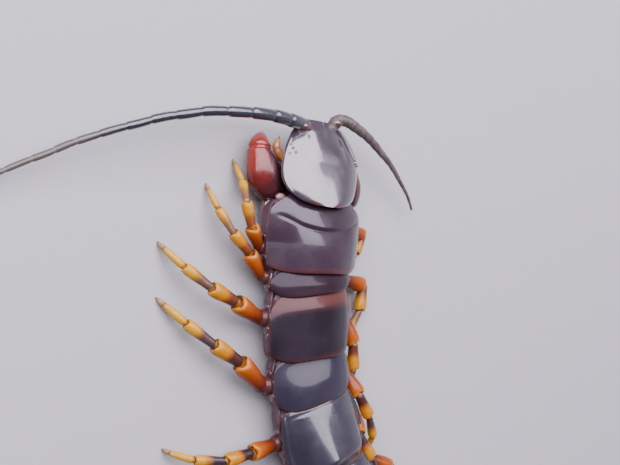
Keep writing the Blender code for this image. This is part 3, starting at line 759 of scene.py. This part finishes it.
def plate_top(index, u, v, place):
    """Height along a later plate before its sides fall off; each rises from a low front."""
    size = abs(u)
    if index == DOMED:
        side = smooth((size - 0.6) / 0.3)
        rise = 2.25 * min(1.0, v / 0.8) - 1.5 * smooth((v - 0.78) / 0.22)
        rise *= 1 + 0.35 * hump(u, 0.30, 0.36)
        top = BACK_TOP - 0.95 + rise * (1 - side) - 0.3 * (1 - smooth(place / 1.2))
        return top + 0.6 * side * smooth(place / 4)
    if index == SLOPED:
        drop = 0.95 + 0.9 * u
        return BACK_TOP - drop * (1 - smooth(place / (5.8 + 1.6 * u))) - 0.12
    return BACK_TOP - FRONT_DROP * (1 - smooth(place / FRONT_SLOPES.get(index, FRONT_SLOPE)))


def later_point(index, u, v):
    """Plates behind the first; from the fifth on they have a raised margin and fine lines."""
    size = abs(u)
    s0 = segment_start(index)
    front = s0 - 0.3 + 1.5 * size ** 8
    rear = s0 + SEGMENTS[index] + (OVERLAP if index < 20 else -0.2) - 1.5 * size ** 7
    if index == 2 and u < 0:
        rear -= 0.9 * size ** 5
    top = plate_top(index, u, v, v * (rear - front))
    height = top - (top - RIM) * size ** ROUNDING - 0.14 * smooth((v - 0.94) / 0.06)
    if index >= DOMED:
        ridge = smooth(v / 0.12) * smooth((1 - v) / 0.06)
        height += ridge * (0.20 * hump(size, 0.93, 0.020) - 0.16 * hump(size, 0.875, 0.022))
        height -= 0.07 * ridge * hump(size, 0.30, 0.010)
        height -= 0.10 * hump(v, 0.10, 0.014) * (1 - size ** 6)
    widths = BULGED_WIDTHS if index == DOMED else PLATE_WIDTHS
    return front + (rear - front) * v, HALF_WIDTHS[index] * read_table(widths, v)[0] * u, height


def plate_point(index, u, v):
    """Top surface of one back plate: u across from right to left, v front to rear."""
    s, side, height = later_point(index, u, v) if index else collar_point(u, v)
    slant = SLANTS.get(index, 0.0) * (1 - v) + SLANTS.get(index + 1, 0.0) * v
    return s + side * slant, side, height


def head_height(s, u, width, top, rim):
    """Top of the head: a low wedge that leans a little to one side."""
    size = abs(u)
    rear = smooth((s - 1.5) / 7.5)
    height = top - (top - rim - 0.6 * rear) * size ** (2.5 + 1.5 * rear)
    lean = 0.06 * hump(s, 3.4, 2.2) - 0.05 * smooth((s - 4.0) / 3.0)
    height += lean * width * u * (1 - size ** 4) + 0.07 * max(0.0, s - 8)
    furrow = smooth((s - 2.0) / 1.5) * (1 - smooth((s - 6.0) / 3.0))
    height -= 0.15 * furrow * hump(size, 0.52, 0.10)
    height += 0.10 * smooth((s - 2.0) / 3) * hump(size, 0.965, 0.020) * smooth((15 - s) / 2)
    return height - 0.10 * hump(u, 0.0, 0.05) * smooth((4.5 - s) / 3)


def back_plates():
    """The back plates, each with the node of the solid that it stands for."""
    keys = ("plate_front", "plate_short", "plate_banded", "plate_slate")
    for index in range(21):
        def point(t, v):
            u = math.sin((t - 0.5) * math.pi)
            return at(*plate_point(index, u, v)), v, u

        pair = (index + 1) // 2 * 2
        node = "trunk_%02d_%02d" % (pair, pair + 1) if index else "trunk_01"
        name = "back_plate_%02d" % (index + 1)
        mesh = sheet(PLATE_ROWS.get(index, 44), PLATE_ACROSS, point).mesh(name)
        face_up(mesh)
        key = keys[index] if index < 4 else "plate_rear"
        thicken(add_piece(name, mesh, key, (node,)))


def face_up(mesh):
    """Makes an open sheet's normals look up."""
    total = sum(face.normal.z * face.area for face in mesh.polygons)
    if total < 0:
        mesh.flip_normals()


def belly_plates():
    for index in range(21):
        s0 = segment_start(index) + (5.0 if index == 0 else 0.25)
        s1 = segment_start(index + 1) - 0.25

        def point(t, v):
            u = t * 2 - 1
            size = abs(u)
            width = HALF_WIDTHS[index] * 0.60 * (1 - 0.05 * (2 * v - 1) ** 2)
            corner = 0.9 * size ** 8
            s = s0 + corner + (s1 - s0 - 2 * corner) * v
            height = BELLY + 0.22 * size ** 5 + 0.10 * (2 * v - 1) ** 6
            height += 0.08 * hump(size, 0.42, 0.03)
            return at(s, width * u, height), v, u

        name = "belly_plate_%02d" % (index + 1)
        mesh = sheet(24, 30, point).mesh(name)
        face_up(mesh)
        mesh.flip_normals()
        thicken(add_piece(name, mesh, "belly_plate"), 0.3)


def skin_section(width, top, sides=48):
    """Flattened body outline under the plates, from top centre round."""
    half = [(0, top), (0.40 * width, top - 0.25), (0.72 * width, top - 1.1),
            (0.90 * width, top - 2.6), (0.955 * width, 5.6), (0.975 * width, 4.6),
            (0.965 * width, 3.6), (0.90 * width, 2.5), (0.78 * width, 1.7),
            (0.60 * width, 1.35), (0.3 * width, 1.3), (0, 1.3)]
    path = half + [(-x, z) for x, z in reversed(half[1:-1])]
    path = [path[-1]] + path + path[:2]
    out = []
    count = len(path) - 3
    for n in range(sides):
        place = count * n / sides
        i = int(place)
        out.append(between(path[i:i + 4], place - i))
    return out


def body_width(index, s):
    """Half width of the body beside a plate."""
    if index == 0:
        return read_table(COLLAR, s)[0]
    v = (s - segment_start(index)) / SEGMENTS[index]
    return HALF_WIDTHS[index] * read_table(PLATE_WIDTHS, v)[0]


def body_skin():
    shape = Shape()
    rings = []
    stops = []
    s = 15.5
    end = segment_start(21) - 0.6
    while s < end:
        stops.append(s)
        s += 0.7
    stops.append(end)
    for s in stops:
        index = max(i for i in range(21) if segment_start(i) <= s)
        v = (s - segment_start(index)) / SEGMENTS[index]
        width = body_width(index, s)
        pinch = 1 - 0.035 * (hump(v, 0.0, 0.07) + hump(v, 1.0, 0.07))
        rings.append([shape.add(at(s, x * pinch, z), v, x / width)
                      for x, z in skin_section(width, SKIN_TOP)])
    shape.tube(rings)
    add_piece("body_skin", shape, "membrane")


def flank_plates():
    """Small hard plates in the soft flank round each leg, and the breathing slits."""
    for index in range(21):
        shape = Shape()
        slit = Shape()
        for side in (1, -1):
            base = segment_start(index) + SEGMENTS[index] * leg_share(index, side)
            for ds, z, rs, rz in FLANK_OVALS:
                add_flank_oval(shape, index, base + ds, z, rs, rz, side, 0.16)
            if index + 1 in SPIRACLES:
                add_flank_oval(slit, index, base + 3.1, 4.8, 0.62, 0.36, side, 0.12)
        number = "_%02d" % (index + 1)
        add_piece("flank_plates" + number, shape, "flank_plate")
        if slit.points:
            add_piece("breathing_slits" + number, slit, "eye")


def leg_share(index, side):
    posed = (LEFT_POSED if side > 0 else RIGHT_POSED).get(index + 1)
    return posed[1] if posed else LEG_SHARE


def add_flank_oval(shape, index, s, z, rs, rz, side, proud):
    def point(row, angle):
        level, lift = row
        ss = s + rs * level * math.cos(angle)
        zz = z + rz * level * math.sin(angle)
        reach = body_width(index, ss) * read_table(FLANK_SHARES, zz)[0] + proud * lift
        return at(ss, side * reach, zz), level, lift

    loft(shape, OVAL_LEVELS, 20, point)


# Head

def head_parts():
    def point(t, v):
        s = HEAD_END * (1 - math.cos(math.pi * v)) / 2
        width, top, rim = read_table(HEAD_RINGS, min(s, 16.0))[:3]
        if s > 15.3:
            width *= math.sqrt(max(0.0, 1 - ((s - 15.3) / 0.82) ** 2)) * 0.45 + 0.55
        u = math.sin((t - 0.5) * math.pi)
        side = width * u + HEAD_SHIFT * smooth((s - 4) / 8)
        return at(s, side, head_height(s, u, width, top, rim)), s / HEAD_END, u

    mesh = sheet(72, 72, point).mesh("head_plate")
    face_up(mesh)
    thicken(add_piece("head_plate", mesh, "head_shell", ("head",)), 0.45)

    def core_point(n, angle):
        s = 0.35 + 14.6 * n / 39
        width, top, rim, low = read_table(HEAD_RINGS, s)
        w = width * 0.94
        top -= 0.42
        rim -= 0.35
        x = w * flatten(math.sin(angle), 0.85)
        size = min(1.0, abs(x) / w)
        if math.cos(angle) >= 0:
            z = rim + (top - rim) * (1 - size ** 2.5)
        else:
            z = rim - (rim - low - 0.1) * (1 - size ** 3.5)
        return at(s, x, z), s / 16, x / w

    core = Shape()
    loft(core, range(40), 48, core_point)
    add_piece("head_core", core, "fang_plate")

    def lip_point(row, angle):
        s, width, top, low = row
        z = (top + low) / 2 + (top - low) / 2 * math.sin(angle)
        return at(s, width * math.cos(angle), z), 0.0, 0.0

    lip = Shape()
    loft(lip, LIP_RINGS, 28, lip_point)
    add_piece("upper_lip", lip, "fang_plate")

    eyes = Shape()
    for side in (1, -1):
        for s, u, r in EYES:
            width, top, rim = read_table(HEAD_RINGS, s)[:3]
            height = head_height(s, side * u, width, top, rim)
            add_ball(eyes, at(s, side * width * u, height - 0.10), r, 0.0, (1, 1, 0.8))
    add_piece("eyes", eyes, "eye")

    sockets = Shape()
    for x, y, z, r in (ANTENNA_LEFT[1], ANTENNA_RIGHT[1]):
        add_ball(sockets, Vector((START_X + x, START_Y + y + 0.35, z - 0.1)), r * 1.22, 0.3,
                 (1.0, 0.75, 0.95), 14, 24)
    add_piece("antenna_sockets", sockets, "fang_plate")


def chin_parts():
    def point(n, angle):
        s = 8.7 + 12.5 * n / 29
        width, top = read_table(CHIN_RINGS, s)
        if n == 0:
            width *= 0.8
        width += 0.55 * hump(s, 16.5, 2.5)
        z = (top + BELLY) / 2 + flatten(math.sin(angle), 0.6) * ((top - BELLY) / 2)
        return at(s, flatten(math.cos(angle), 0.55) * width, z), n / 29, math.cos(angle)

    shape = Shape()
    loft(shape, range(30), 40, point)
    add_piece("fang_plate", shape, "fang_plate")

    teeth = Shape()
    for side in (1, -1):
        for n in range(5):
            x = side * (0.75 + 0.62 * n)
            start = at(9.2 + 0.08 * n, x, 3.0)
            end = at(8.35 + 0.16 * n, x * 0.98, 3.0)
            add_link(teeth, start, end, 0.34, [(-0.2, 0.9), (0.3, 1.0), (0.75, 0.8), (1.0, 0.35)],
                     0.0, 12)
    add_piece("fang_plate_teeth", teeth, "claw")

    knobs = Shape()
    add_ball(knobs, at(14.9, 7.7, 5.3), 0.85, 0, (1.25, 0.8, 0.8), 14, 24)
    add_ball(knobs, at(14.9, -7.7, 5.0), 0.8, 0, (1.25, 0.8, 0.7), 14, 24)
    add_piece("fang_pivots", knobs, "condyle")


def fang(path, label):
    dense = spline(path, 90)
    points = [at(*row[:3]) for row in dense]
    total = [0.0]
    for p, q in zip(points, points[1:]):
        total.append(total[-1] + (q - p).length)
    joint = min(range(90), key=lambda i: abs(dense[i][0] - 6.9))
    inward = spine_frame(10)[1] * (-1 if path[0][1] > 0 else 1)

    def part(name, first, last, swell, nodes=()):
        shape = Shape()
        rows = range(first, last + 1)
        radii = []
        for i in rows:
            factor = swell((i - first) / (last - first))
            radii.append((dense[i][3] * factor, dense[i][4] * factor))
        add_tube(shape, points[first:last + 1], radii, [total[i] / total[-1] for i in rows], 40)
        mesh = shape.mesh(name)
        # How far each point lies towards the inner side; the fang finish darkens that side as
        # painted shade.
        values = []
        for vert in mesh.vertices:
            spot = vert.co / MM
            i = min(rows, key=lambda r: (points[r] - spot).length)
            toward = (spot - points[i]).dot(inward) / max(0.2, dense[i][3])
            values.append(0.5 + 0.5 * toward)
        paint(mesh, "inner", values)
        add_piece(name, mesh, "fang", nodes)

    def rounded(t):
        return min(1.0, 0.62 + 0.38 * smooth(t / 0.10)) * (1 - 0.16 * smooth((t - 0.94) / 0.06))

    part("fang_base_" + label, 0, joint, rounded, ("forcipule_" + label,))
    part("fang_ring_" + label, joint - 1, joint + 5, lambda t: 0.95 - 0.04 * (2 * t - 1) ** 2)
    part("fang_claw_" + label, joint + 5, 89, lambda t: 0.94 + 0.06 * smooth(t / 0.10))


def mouth_parts():
    def point(n, angle):
        s = 2.0 + 6.4 * n / 23
        width, top, low = read_table(MOUTH_RINGS, s)
        if n < 3:
            width *= 0.7 + 0.1 * n
        x = flatten(math.cos(angle), 0.7) * width
        z = (top + low) / 2 + flatten(math.sin(angle), 0.7) * ((top - low) / 2)
        if math.sin(angle) < 0:
            z += 0.35 * hump(x, 0.0, 0.35)
        return at(s, x, z), n / 23, 0

    shape = Shape()
    loft(shape, range(24), 36, point)
    for path in (PALP_LEFT, PALP_RIGHT):
        dense = spline(path, 40)
        points = [at(s, x, z) for s, x, z, r in dense]
        radii = []
        for n, (s, x, z, r) in enumerate(dense):
            t = n / 39
            pinch = 1 - 0.14 * (hump(t, 0.36, 0.025) + hump(t, 0.70, 0.025))
            if n > 36:
                pinch *= (0.85, 0.62, 0.3)[n - 37]
            radii.append((r * pinch, r * pinch))
        add_tube(shape, points, radii, [n / 39 for n in range(40)], 24)
    add_piece("mouthparts", shape, "mouth", ("maxillae",))
    claws = Shape()
    for path in (PALP_LEFT, PALP_RIGHT):
        a = path[-1]
        b = path[-2]
        tip = at(a[0], a[1], a[2])
        way = (tip - at(b[0], b[1], b[2])).normalized()
        add_link(claws, tip - way * 0.15, tip + way * 0.65, 0.2,
                 [(0, 1.0), (0.4, 0.75), (0.8, 0.35), (1.0, 0.1)], 0.0, 12)
    add_piece("feeler_claws", claws, "claw")


def antenna(path, label):
    steps = 12
    count = ARTICLES * steps + 1
    dense = spline(path, count)
    points = [Vector((START_X + x, START_Y + y, z)) for x, y, z, r in dense]
    shape = Shape()
    radii = []
    rings = []
    for n, (x, y, z, r) in enumerate(dense):
        t = (n % steps) / steps
        club = 0.93 + 0.09 * smooth(t / 0.75)
        near = min(t, 1 - t)
        pinch = 1 - 0.14 * hump(near, 0.0, 0.05)
        if n == count - 1:
            pinch *= 0.5
        radii.append((r * club * pinch, r * club * pinch))
        rings.append(hump(near, 0.0, 0.10))
    add_tube(shape, points, radii, [n / (count - 1) for n in range(count)], 24)
    node = "antenna_" + label
    mesh = shape.mesh(node + "_articles")
    paint(mesh, "ring", [rings[i // 24] for i in range(count * 24)])
    key = "antenna" if label == "left" else node
    add_piece(node + "_articles", mesh, key, (node,))


# Legs

def bent_limb(points, ahead, across, yaws, pitches, links, scale=1.0):
    """Joint points of a limb, bent as a whole until its tip is at the floor."""
    def joints(extra):
        chain = list(points)
        for yaw, pitch, link in zip(yaws, pitches, links):
            yaw = math.radians(yaw)
            pitch = math.radians(pitch + extra)
            level = ahead * math.cos(yaw) + across * math.sin(yaw)
            step = level * math.cos(pitch) + UP * math.sin(pitch)
            chain.append(chain[-1] + step * link * scale)
        return chain

    low = -70.0
    high = 60.0
    for _ in range(40):
        middle = (low + high) / 2
        if joints(middle)[-1].z > TIP_HEIGHT:
            high = middle
        else:
            low = middle
    return joints(high)


def leg_chain(index, side, scale, share, yaws, pitches):
    s = segment_start(index) + SEGMENTS[index] * share
    left, back = spine_frame(s)[1:]
    out = left * side
    root = at(s, side * HALF_WIDTHS[index] * LEG_INSET, LEG_HEIGHT)
    droop = math.radians(-12)
    coxa = root + (out * math.cos(droop) + UP * math.sin(droop)) * COXA * scale
    return bent_limb([root, coxa], out, -back, yaws, pitches, LINKS, scale)


def wave_pose(index, side):
    """Stepping wave for the legs that the photo doesn't show."""
    phase = 2 * math.pi * (index / 7.0 + (0.5 if side < 0 else 0.0))
    lean = 14 - 3.6 * (index - 5) if side > 0 else -40 + 0.6 * (index - 6)
    middle = lean + 9 * math.sin(phase)
    spread = 7 if middle > 0 else -3
    yaws = [middle + spread * 0.5 * link for link in range(5)]
    return 1.0 if index < 17 else 1.04, LEG_SHARE, yaws, LEG_PITCH


def add_leg(index, side, label):
    posed = (LEFT_POSED if side > 0 else RIGHT_POSED).get(index + 1)
    scale, share, yaws, pitches = posed or wave_pose(index, side)
    joints = leg_chain(index, side, scale, share, yaws, pitches)
    root, coxa, knee = joints[:3]
    tibia, tarsus, tip = joints[4:]
    shape = Shape()
    way = (knee - coxa).normalized()
    add_link(shape, root - (coxa - root) * 0.3, coxa, COXA_SIZES[0] * scale, STOUT, 0.0, span=0.5)
    add_link(shape, coxa - way * 0.4, coxa + way * 0.5 * scale, COXA_SIZES[1] * scale, STOUT, 0.5,
             span=0.4)
    starts = [coxa + way * 0.3 * scale] + joints[2:]
    for n in range(3):
        add_link(shape, starts[n], joints[n + 2], LINK_SIZES[n] * scale, CLUB, n + 1.0, 24,
                 notch=NOTCHES[n])
    add_link(shape, tibia, tarsus, LINK_SIZES[3] * scale, TAPER, 4.0)
    last = tip - tarsus
    end = tarsus + last * 0.90
    add_link(shape, tarsus, end, LINK_SIZES[4] * scale, TOE, 5.0)
    name = "leg_%s_%02d" % (label, index + 1)
    add_limb_piece(name + "_links", shape, "leg", (name,), BANDS.get(index + 1, 1.0))

    inner = Shape()
    for spot, size in zip(joints[2:], JOINT_SIZES):
        add_ball(inner, spot, size * scale, 0.0, (1, 1, 1), 8, 14)
    add_piece(name + "_joints", inner, "joint_skin")

    claw = Shape()
    down = Vector((last.x, last.y, 0)).normalized()
    base = end - last.normalized() * 0.12
    point = tip + down * 0.05
    point.z = max(0.06, point.z)
    middle = base + (point - base) * 0.5 + Vector((0, 0, 0.12))
    add_tube(claw, [base, middle, point], [(0.17 * scale, 0.17 * scale), (0.12, 0.12), (0.03, 0.03)],
             [0, 0.5, 1], 10)
    spur_from = tarsus - (tarsus - tibia).normalized() * 0.25
    spur_way = (tarsus - tibia).normalized() * 0.5 + Vector((0, 0, -0.45))
    add_tube(claw, [spur_from, spur_from + spur_way * 1.2 * scale],
             [(0.15, 0.15), (0.03, 0.03)], [0, 1], 8)
    add_limb_piece(name + "_claw", claw, "claw")


def tail_chain(side):
    s = segment_start(21) - 0.8
    left, back = spine_frame(s)[1:]
    return bent_limb([at(s, side * 3.9, 4.4)], back, left * side, TAIL_SPLAY, TAIL_PITCH,
                     TAIL_LINKS)


def add_tail_leg(side, label):
    joints = tail_chain(side)
    shape = Shape()
    profiles = (STOUT, SLIM, SLIM, SLIM, TOE)
    for n in range(5):
        end = joints[n + 1]
        if n == 4:
            end = joints[n] + (joints[n + 1] - joints[n]) * 0.92
        add_link(shape, joints[n], end, TAIL_SIZES[n], profiles[n], n + 1.0, 28)
    name = "ultimate_leg_" + label
    add_limb_piece(name + "_links", shape, "leg", (name,), TAIL_BAND)
    extra = Shape()
    way = (joints[1] - joints[0]).normalized()
    across = way.cross(UP).normalized()
    for t in (0.30, 0.50, 0.70, 0.92):
        for tilt in (-0.9, 0.2):
            direction = across * (-side * math.cos(tilt)) + UP * math.sin(tilt)
            spot = joints[0] + way * (TAIL_LINKS[0] * t) + direction * 2.2
            add_tube(extra, [spot, spot + direction * 0.75 + way * 0.45],
                     [(0.26, 0.26), (0.04, 0.04)], [0, 1], 10)
    tip = joints[-1]
    last = (joints[-1] - joints[-2]).normalized()
    add_tube(extra, [tip - last * 0.6, tip - last * 0.1 + Vector((0, 0, 0.1)),
                     Vector((tip.x + last.x * 0.5, tip.y + last.y * 0.5, 0.08))],
             [(0.24, 0.24), (0.17, 0.17), (0.04, 0.04)], [0, 0.5, 1], 10)
    add_limb_piece(name + "_spines", extra, "claw")


def rear_sides():
    """The swollen base plates beside the last segment, each with a short blunt point."""
    shape = Shape()
    end = segment_start(21)
    for side in (1, -1):
        points = [at(end - 6.5, side * 4.2, 3.2), at(end - 3.5, side * 4.4, 3.3),
                  at(end - 0.8, side * 3.6, 3.2), at(end + 0.9, side * 2.9, 2.9),
                  at(end + 1.9, side * 2.6, 2.7)]
        add_tube(shape, points, [(1.4, 1.5), (2.0, 1.9), (1.6, 1.5), (0.7, 0.7), (0.12, 0.12)],
                 [0, 0.3, 0.6, 0.8, 1], 24)
    add_piece("tail_base_plates", shape, "fang_plate")


def stage():
    mesh = bpy.data.meshes.new("floor")
    corners = ((-1, -1), (1, -1), (1, 1), (-1, 1))
    mesh.from_pydata([(FLOOR_HALF * x, FLOOR_HALF * y, 0) for x, y in corners], [],
                     [(0, 1, 2, 3)])
    mesh.materials.append(FINISHES["floor"])
    place_item("floor", mesh)


def panel_light(target):
    """One broad soft panel overhead, ahead of the animal and towards its left side."""
    data = bpy.data.lights.new("sky_panel", "AREA")
    data.shape = "RECTANGLE"
    data.size = PANEL_SIZE[0]
    data.size_y = PANEL_SIZE[1]
    data.energy = PANEL_POWER
    data.color = PANEL_COLOUR
    place_item("sky_panel", data).location = target + Vector(PANEL_PLACE)


def sky():
    """Dim even surroundings with a soft glow low down on the animal's right side."""
    world = bpy.data.worlds.new("studio")
    world.use_nodes = True
    nodes = world.node_tree.nodes
    links = world.node_tree.links
    way = nodes.new("ShaderNodeTexCoord").outputs["Generated"]
    split = nodes.new("ShaderNodeSeparateXYZ")
    links.new(way, split.inputs["Vector"])
    glow = nodes.new("ShaderNodeMapRange")
    glow.interpolation_type = "SMOOTHSTEP"
    for name, value in SKY_GLOW:
        glow.inputs[name].default_value = value
    links.new(split.outputs["X"], glow.inputs["Value"])
    back = nodes["Background"]
    back.inputs["Color"].default_value = SKY_COLOUR
    links.new(glow.outputs["Result"], back.inputs["Strength"])
    bpy.context.scene.world = world


def lights_and_camera():
    target = at(*VIEW_TARGET) * MM
    tilt = math.radians(VIEW_TILT)
    toward = Vector((math.sin(tilt), 0, math.cos(tilt)))
    data = bpy.data.cameras.new("photo_view")
    data.lens = VIEW_LENS
    data.sensor_width = 36
    data.clip_start = 0.01
    camera = place_item("photo_view", data)
    camera.location = target + toward * VIEW_DISTANCE * MM
    right = Vector((-math.cos(tilt), 0, math.sin(tilt)))
    turn = Matrix((right, Vector((0, -1, 0)), toward)).transposed()
    camera.rotation_euler = turn.to_euler()
    bpy.context.scene.camera = camera

    panel_light(target)
    sky()


def main():
    make_finishes()
    for build in (back_plates, belly_plates, body_skin, flank_plates, head_parts, chin_parts):
        build()
    fang(FANG_LEFT, "left")
    fang(FANG_RIGHT, "right")
    mouth_parts()
    antenna(ANTENNA_LEFT, "left")
    antenna(ANTENNA_RIGHT, "right")
    for index in range(20):
        add_leg(index, 1, "left")
        add_leg(index, -1, "right")
    add_tail_leg(1, "left")
    add_tail_leg(-1, "right")
    rear_sides()
    stage()
    lights_and_camera()


main()
bpy.context.view_layer.update()
